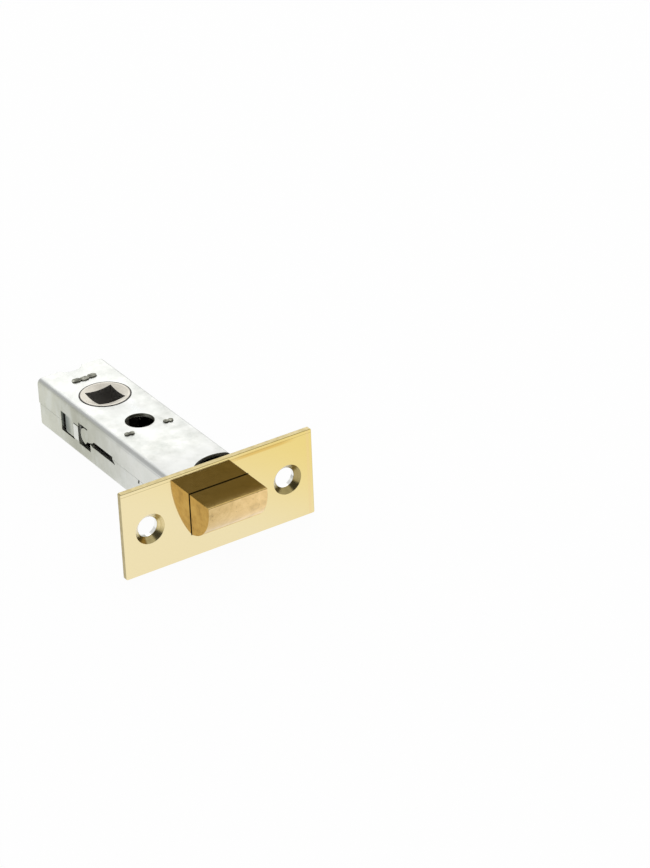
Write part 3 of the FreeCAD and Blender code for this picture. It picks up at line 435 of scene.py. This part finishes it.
def staked_steel():
    finish = Finish("staked_steel", 0.42)
    head = finish.rising(finish.far_from((finish.axis("Z"), 0.0)), 7.05, 7.2)
    cloud = finish.noise(600, 5, 0.65)
    plate = finish.ramp(cloud, *PLATE_TONES)
    bruise = finish.noise(1100, 4, 0.6, where=finish.mapped((1.0, 0.6, 1.0), (0, 0, 0.6)))
    bruised = finish.ramp(
        bruise, (0.38, (0.06, 0.06, 0.045)), (0.50, (0.17, 0.17, 0.135)),
        (0.60, (0.30, 0.30, 0.25)), (0.68, (0.62, 0.62, 0.56)))
    finish.colour(finish.mix(head, plate, bruised))
    dents = finish.times(finish.noise(900, 4), finish.combine("MAXIMUM", head, 0.15))
    finish.normal(finish.bump(dents, 0.12 * MM, 0.8))
    return finish.material


def plated_steel():
    finish = Finish("plated_steel", 0.40)
    cloud = finish.noise(600, 5, 0.65)
    base = finish.ramp(cloud, *PLATE_TONES)
    beside = finish.combine("ABSOLUTE", finish.axis("Y"), 0.0)
    from_hole = finish.far_from((beside, SCREW_HOLE_Y), (finish.axis("Z"), 0.0))
    screw_hole = finish.falling(from_hole, 2.85, 2.95)
    finish.colour(finish.mix(screw_hole, base, (0.90, 0.90, 0.87)))
    finish.roughness(finish.mix(screw_hole, (0.40, 0.40, 0.40), (0.12, 0.12, 0.12)))
    finish.normal(finish.bump(finish.noise(1500, 3), 0.02 * MM, 0.5))
    return finish.material


# %% Cast zinc and spring wire
def cast_zinc():
    finish = Finish("cast_zinc", 0.42)
    cloud = finish.noise(420, 4)
    base = finish.ramp(cloud, (0.3, (0.50, 0.47, 0.41)), (0.7, (0.62, 0.59, 0.52)))
    ahead = finish.far_from((finish.axis("X"), HUB_X))
    aside = finish.far_from((finish.axis("Y"), 0.0))
    from_centre = finish.far_from((ahead, 0.0), (aside, 0.0))
    # Painted shade: the follower beyond its collar is painted near black.
    base = finish.mix(finish.rising(from_centre, 6.62, 6.76), base, (0.06, 0.055, 0.05))
    # Painted shade: the walls of the square are painted darker.
    painted_square_shade = finish.falling(finish.combine("MAXIMUM", ahead, aside), 4.02, 4.08)
    finish.colour(finish.mix(painted_square_shade, base, (0.34, 0.33, 0.31)))
    finish.normal(finish.bump(finish.noise(2200, 3), 0.01 * MM, 0.4))
    return finish.material


def spring_wire():
    finish = Finish("spring_wire", 0.3)
    drawn = finish.noise(900, 3)
    finish.colour(finish.ramp(drawn, (0.3, (0.34, 0.34, 0.33)), (0.7, (0.46, 0.46, 0.45))))
    return finish.material


# %% Give each solid its finish
finishes = {
    "polished_brass": polished_brass(),
    "dull_brass": dull_brass(),
    "zinc": zinc_sheet(),
    "staked": staked_steel(),
    "plated": plated_steel(),
    "cast": cast_zinc(),
    "wire": spring_wire(),
}
finish_of = {
    "forend": "polished_brass", "bolt": "dull_brass", "case_upper": "zinc", "case_lower": "zinc",
    "follower": "cast", "spring_plate": "staked", "rear_plate": "staked",
    "bolt_spring": "wire", "return_spring_near": "wire", "return_spring_far": "wire",
}
for name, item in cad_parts.items():
    material = finishes[finish_of.get(name, "plated")]
    item.data.materials.clear()
    item.data.materials.append(material)
print("finishes:", len(finishes), "nodes:", len(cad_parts))

# %% [markdown]
# ## The springs
#
# Three coil springs stand on the cross plate ahead of the through hole. One pushes the
# bolt and two push the draw plate. A real spring closes up by as much as its front end
# is pushed back. Each one here is a smooth-shaded copy of its solid, hung on the case,
# and its length at rest and drawn in is printed.

# %% Springs
SPRING_SEAT = -33.9 * MM
BOLT_TRAVEL = 9.3 * MM


def shortening_spring(name):
    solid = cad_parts[name]
    wire = bmesh.new()
    wire.from_mesh(solid.data)
    bmesh.ops.remove_doubles(wire, verts=wire.verts, dist=0.001 * MM)
    for face in wire.faces:
        face.smooth = True
    front = max(vertex.co.x for vertex in wire.verts)
    mesh = bpy.data.meshes.new(name + "_coil")
    wire.to_mesh(mesh)
    wire.free()
    coil = bpy.data.objects.new(name + "_coil", mesh)
    bpy.context.collection.objects.link(coil)
    mesh.materials.append(finishes["wire"])
    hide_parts(name)
    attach(coil, "case")
    length = front - SPRING_SEAT
    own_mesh(coil)
    drawn_in = length - BOLT_TRAVEL
    print(name, "length at rest:", round(length / MM, 2), "drawn in:", round(drawn_in / MM, 2))


for spring in ("bolt_spring", "return_spring_near", "return_spring_far"):
    shortening_spring(spring)

# %% [markdown]
# ## Floor and light
#
# The latch touches the floor along the forend's long edge and at the case's rear end,
# so the floor is laid through both. It is white to the camera and in the metal, and
# it keeps a soft shadow.

# %% Floor
def lay_floor():
    slope = (CASE_LOW - FOREND_LOW) / (CASE_REAR - PLATE_REAR_EDGE)
    sheet = bmesh.new()
    bmesh.ops.create_grid(sheet, x_segments=2, y_segments=2, size=3.0)
    bmesh.ops.rotate(sheet, verts=sheet.verts, matrix=Matrix.Rotation(-math.atan(slope), 3, "Y"))
    level = FOREND_LOW - slope * PLATE_REAR_EDGE
    bmesh.ops.translate(sheet, verts=sheet.verts, vec=(0, 0, level))
    mesh = bpy.data.meshes.new("floor")
    sheet.to_mesh(mesh)
    sheet.free()
    floor = bpy.data.objects.new("floor", mesh)
    bpy.context.collection.objects.link(floor)
    return floor


def white_floor():
    """White where it is seen, with a share of plain diffuse that takes the shadow."""
    material = bpy.data.materials.new("white_floor")
    material.use_nodes = True
    tree = material.node_tree
    nodes, links = tree.nodes, tree.links
    shader = nodes["Principled BSDF"]
    shader.inputs["Base Color"].default_value = (0.95, 0.95, 0.95, 1.0)
    shader.inputs["Roughness"].default_value = 1.0
    shader.inputs["Specular IOR Level"].default_value = 0.0
    glow = nodes.new("ShaderNodeEmission")
    glow.inputs["Strength"].default_value = 1.0
    paths = nodes.new("ShaderNodeLightPath")
    seen = nodes.new("ShaderNodeMath")
    seen.operation = "MAXIMUM"
    links.new(paths.outputs["Is Camera Ray"], seen.inputs[0])
    links.new(paths.outputs["Is Glossy Ray"], seen.inputs[1])
    share = nodes.new("ShaderNodeMath")
    share.operation = "MULTIPLY"
    share.inputs[1].default_value = 0.96
    links.new(seen.outputs[0], share.inputs[0])
    mix = nodes.new("ShaderNodeMixShader")
    links.new(share.outputs[0], mix.inputs[0])
    links.new(shader.outputs[0], mix.inputs[1])
    links.new(glow.outputs[0], mix.inputs[2])
    links.new(mix.outputs[0], nodes["Material Output"].inputs["Surface"])
    return material


floor = lay_floor()
floor.data.materials.append(white_floor())

# %% [markdown]
# A mirror only shows what is round it. The room is pale, and grey in three directions.
# One is ahead of the latch on the far side, and it is what makes the bolt's top dark
# beside the bright plate. The second is where the camera stands, and the countersinks
# show it as a dark patch at their lower right. The third is low behind the latch on the
# near side, and it draws the grey bands along the case's folded edge.

# %% Room
def light_room():
    world = bpy.data.worlds.new("room")
    bpy.context.scene.world = world
    world.use_nodes = True
    tree = world.node_tree
    nodes, links = tree.nodes, tree.links
    ground = nodes["Background"]
    ground.inputs["Strength"].default_value = 1.0
    place = nodes.new("ShaderNodeTexCoord")

    def grey_toward(direction, wide, narrow, level):
        """1 away from a direction, falling to level within the narrow cosine of it."""
        toward = nodes.new("ShaderNodeVectorMath")
        toward.operation = "DOT_PRODUCT"
        toward.inputs[1].default_value = Vector(direction).normalized()
        links.new(place.outputs["Generated"], toward.inputs[0])
        step = nodes.new("ShaderNodeMapRange")
        step.interpolation_type = "SMOOTHSTEP"
        step.inputs["From Min"].default_value = wide
        step.inputs["From Max"].default_value = narrow
        step.inputs["To Min"].default_value = 1.0
        step.inputs["To Max"].default_value = level
        links.new(toward.outputs["Value"], step.inputs["Value"])
        return step.outputs["Result"]

    def times(first, second):
        both = nodes.new("ShaderNodeMath")
        both.operation = "MULTIPLY"
        links.new(first, both.inputs[0])
        links.new(second, both.inputs[1])
        return both.outputs[0]

    ahead = grey_toward((0.80, 0.42, 0.42), wide=0.88, narrow=0.965, level=0.24)
    camera_side = grey_toward((0.70, -0.44, 0.56), wide=0.84, narrow=0.955, level=0.10)
    aside = grey_toward((-0.66, -0.60, 0.42), wide=0.74, narrow=0.93, level=0.72)
    room = times(times(ahead, camera_side), aside)
    paths = nodes.new("ShaderNodeLightPath")
    mix = nodes.new("ShaderNodeMix")
    mix.data_type = "RGBA"
    mix.inputs[7].default_value = (1.0, 1.0, 1.0, 1.0)
    links.new(paths.outputs["Is Camera Ray"], mix.inputs[0])
    links.new(room, mix.inputs[6])
    links.new(mix.outputs[2], ground.inputs["Color"])


def soft_lamp(name, place, target, size, watts):
    """A square soft box that faces the target."""
    data = bpy.data.lights.new(name, "AREA")
    data.shape = "SQUARE"
    data.size = size
    data.energy = watts
    lamp = bpy.data.objects.new(name, data)
    bpy.context.collection.objects.link(lamp)
    lamp.location = place
    lamp.rotation_euler = (Vector(target) - Vector(place)).to_track_quat("-Z", "Y").to_euler()


light_room()
soft_lamp("behind", place=(-1.03, 0.66, 0.68), target=(-0.04, 0, 0), size=1.2, watts=3.0)
